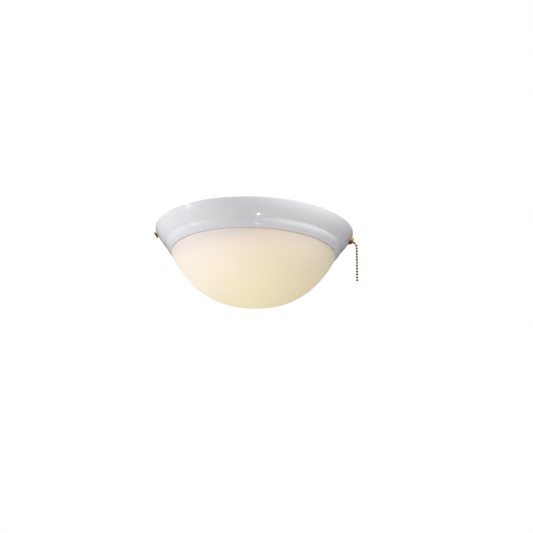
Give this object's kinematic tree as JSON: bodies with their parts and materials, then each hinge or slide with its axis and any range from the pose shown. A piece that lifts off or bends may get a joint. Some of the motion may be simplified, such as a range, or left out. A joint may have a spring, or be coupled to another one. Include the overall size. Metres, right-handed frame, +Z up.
{
  "type": "ceiling fan light kit",
  "caption": "Shallow bowl light kit for a ceiling fan: stepped white pan, opal glass bowl, brass thumbscrew and a beaded pull chain.",
  "frame": {"origin": "on the axis, where the hollow stem leaves the top face of the mounting plate", "axes": "+Z up along the stem; +X towards the pull chain; the front is -Y"},
  "size_m": [0.2908, 0.28, 0.1355],
  "materials": {
    "white_enamel": "gloss white enamel",
    "zinc_steel": "zinc-plated steel",
    "spring_steel": "blued spring steel",
    "opal_glass": "satin opal glass, warm cream",
    "brass": "antique brass",
    "black_moulding": "black phenolic moulding",
    "nylon": "natural nylon",
    "fibre": "glass-fibre pad with a foil face",
    "lamp_glass": "inside-frosted lamp glass",
    "aluminium": "rolled aluminium"
  },
  "bodies": {
    "kit": {"mounting_plate": "zinc_steel", "stem_nipple": "zinc_steel", "stem_washer": "zinc_steel", "stem_nut": "zinc_steel", "stem_bushing": "nylon", "heat_pad": "fibre", "pan_shell": "white_enamel", "clip_ring": "zinc_steel", "glass_clip_1": "spring_steel", "glass_clip_2": "spring_steel", "glass_clip_3": "spring_steel", "clip_rivets": "zinc_steel", "weld_nut": "zinc_steel", "switch_body": "black_moulding", "switch_tube": "brass", "switch_nut": "brass", "switch_back_nut": "brass", "holder_body_1": "black_moulding", "holder_body_2": "black_moulding", "screw_shell_1": "aluminium", "screw_shell_2": "aluminium", "centre_contact_1": "brass", "centre_contact_2": "brass", "holder_bracket_1": "zinc_steel", "holder_bracket_2": "zinc_steel", "bracket_screws": "zinc_steel", "holder_rivets": "zinc_steel"},
    "bowl": {"glass_bowl": "opal_glass"},
    "screw_carrier": {"thumb_screw_washer": "nylon"},
    "thumb_screw": {"thumb_screw": "brass"},
    "chain_lead": {"chain_lead": "brass"},
    "chain_knuckle": {"chain_knuckle": "brass"},
    "chain_drop": {"chain_drop": "brass"},
    "lamp_1": {"lamp_cap_1": "aluminium", "lamp_glass_1": "lamp_glass"},
    "lamp_2": {"lamp_cap_2": "aluminium", "lamp_glass_2": "lamp_glass"}
  },
  "joints": [
    {"name": "bowl_drop", "type": "slide", "parent": "kit", "child": "bowl", "axis": [0, 0, -1], "range_m": [0, 0.11], "deforming": ["glass_clip_1", "glass_clip_2", "glass_clip_3"]},
    {"name": "screw_travel", "type": "slide", "parent": "kit", "child": "screw_carrier", "axis": [-0.8505, 0, -0.5259], "range_m": [0, 0.00476]},
    {"name": "screw_turn", "type": "hinge", "parent": "screw_carrier", "child": "thumb_screw", "pos_m": [-0.13756, 0, -0.0212], "axis": [-0.8505, 0, -0.5259], "range_deg": [0, 2160]},
    {"name": "chain_pull", "type": "slide", "parent": "kit", "child": "chain_lead", "axis": [0.8505, 0, -0.5259], "range_m": [0, 0.006], "stiffness_N_per_m": 1500},
    {"name": "chain_sway", "type": "hinge", "parent": "chain_lead", "child": "chain_knuckle", "pos_m": [0.14322, 0, -0.0247], "axis": [1, 0, 0], "range_deg": [-30, 30]},
    {"name": "chain_swing", "type": "hinge", "parent": "chain_knuckle", "child": "chain_drop", "pos_m": [0.14588, 0, -0.0281], "axis": [0, 1, 0], "range_deg": [-45, 20]},
    {"name": "lamp_1_out", "type": "slide", "parent": "kit", "child": "lamp_1", "axis": [-1, 0, 0], "range_m": [0, 0.024]},
    {"name": "lamp_2_out", "type": "slide", "parent": "kit", "child": "lamp_2", "axis": [1, 0, 0], "range_m": [0, 0.024]}
  ],
  "couplings": [
    {"joint": "screw_turn", "follows": "screw_travel", "rad_per_m": 7913.3}
  ]
}
